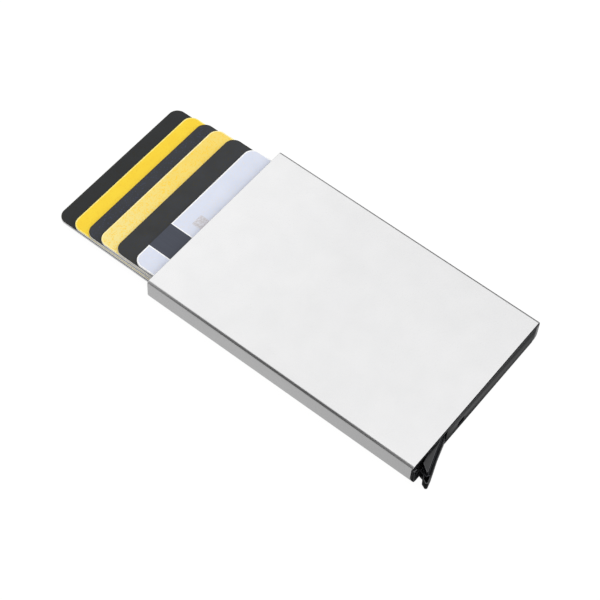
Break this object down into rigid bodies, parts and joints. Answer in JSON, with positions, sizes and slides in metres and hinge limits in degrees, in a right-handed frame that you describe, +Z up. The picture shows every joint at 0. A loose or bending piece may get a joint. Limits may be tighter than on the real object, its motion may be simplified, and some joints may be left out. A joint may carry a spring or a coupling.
{
  "type": "pop-up card case",
  "caption": "Flat aluminium sleeve wallet with a swinging eject lever in a black end cap that fans a stack of standard cards out of the mouth.",
  "frame": {"origin": "centre of the sleeve's flat bottom face", "axes": "+Y along the sleeve, out of the card mouth; +Z up through the thickness; +X from the lever side to the far side"},
  "size_m": [0.061, 0.1365, 0.0082],
  "materials": {
    "shell_aluminium": "satin clear-anodised",
    "cap_plastic": "black moulded nylon",
    "pin_steel": "bright ground pin",
    "liner_plastic": "dark grey moulded liner",
    "foam": "closed-cell foam strip",
    "felt": "pressed black felt",
    "card_black": "satin laminated card",
    "card_yellow": "satin laminated card",
    "card_slate": "satin laminated card",
    "card_gold": "pale metallic laminated card",
    "card_charcoal": "satin laminated card",
    "card_white": "pale satin laminated card",
    "stripe_tape": "dark magnetic tape",
    "signature_film": "matt signature film",
    "contact_gold": "gold-plated contact foil"
  },
  "bodies": {
    "case_body": {"sleeve_shell": "shell_aluminium", "end_cap": "cap_plastic", "pivot_pin": "pin_steel", "side_rail_near": "liner_plastic", "side_rail_far": "liner_plastic", "side_pad_near": "foam", "side_pad_far": "foam", "mouth_felt_upper": "felt", "mouth_felt_lower": "felt"},
    "lever_body": {"eject_lever": "cap_plastic"},
    "card_1_body": {"card_1": "card_black", "card_1_chip_plate": "contact_gold"},
    "card_2_body": {"card_2": "card_yellow", "card_2_chip_plate": "contact_gold"},
    "card_3_body": {"card_3": "card_slate", "card_3_chip_plate": "contact_gold"},
    "card_4_body": {"card_4": "card_gold", "card_4_chip_plate": "contact_gold"},
    "card_5_body": {"card_5": "card_charcoal", "card_5_chip_plate": "contact_gold"},
    "card_6_body": {"card_6": "card_white", "card_6_magnetic_stripe": "stripe_tape", "card_6_signature_panel": "signature_film"}
  },
  "joints": [
    {"name": "card_1_slide", "type": "slide", "parent": "case_body", "child": "card_1_body", "axis": [0, 1, 0], "range_m": [-0.0398, 0]},
    {"name": "card_2_slide", "type": "slide", "parent": "case_body", "child": "card_2_body", "axis": [0, 1, 0], "range_m": [-0.0343, 0]},
    {"name": "card_3_slide", "type": "slide", "parent": "case_body", "child": "card_3_body", "axis": [0, 1, 0], "range_m": [-0.029, 0]},
    {"name": "card_4_slide", "type": "slide", "parent": "case_body", "child": "card_4_body", "axis": [0, 1, 0], "range_m": [-0.0242, 0]},
    {"name": "card_5_slide", "type": "slide", "parent": "case_body", "child": "card_5_body", "axis": [0, 1, 0], "range_m": [-0.0179, 0]},
    {"name": "card_6_slide", "type": "slide", "parent": "case_body", "child": "card_6_body", "axis": [0, 1, 0], "range_m": [-0.0107, 0]},
    {"name": "lever_swing", "type": "hinge", "parent": "case_body", "child": "lever_body", "pos_m": [-0.0205, -0.0435, 0.0041], "axis": [0, 0, 1], "range_deg": [-10, 0]}
  ],
  "couplings": [
    {"joint": "card_2_slide", "follows": "card_1_slide", "ratio": 0.8618},
    {"joint": "card_3_slide", "follows": "card_1_slide", "ratio": 0.7286},
    {"joint": "card_4_slide", "follows": "card_1_slide", "ratio": 0.608},
    {"joint": "card_5_slide", "follows": "card_1_slide", "ratio": 0.4497},
    {"joint": "card_6_slide", "follows": "card_1_slide", "ratio": 0.2688},
    {"joint": "lever_swing", "follows": "card_1_slide", "rad_per_m": 4.385}
  ]
}
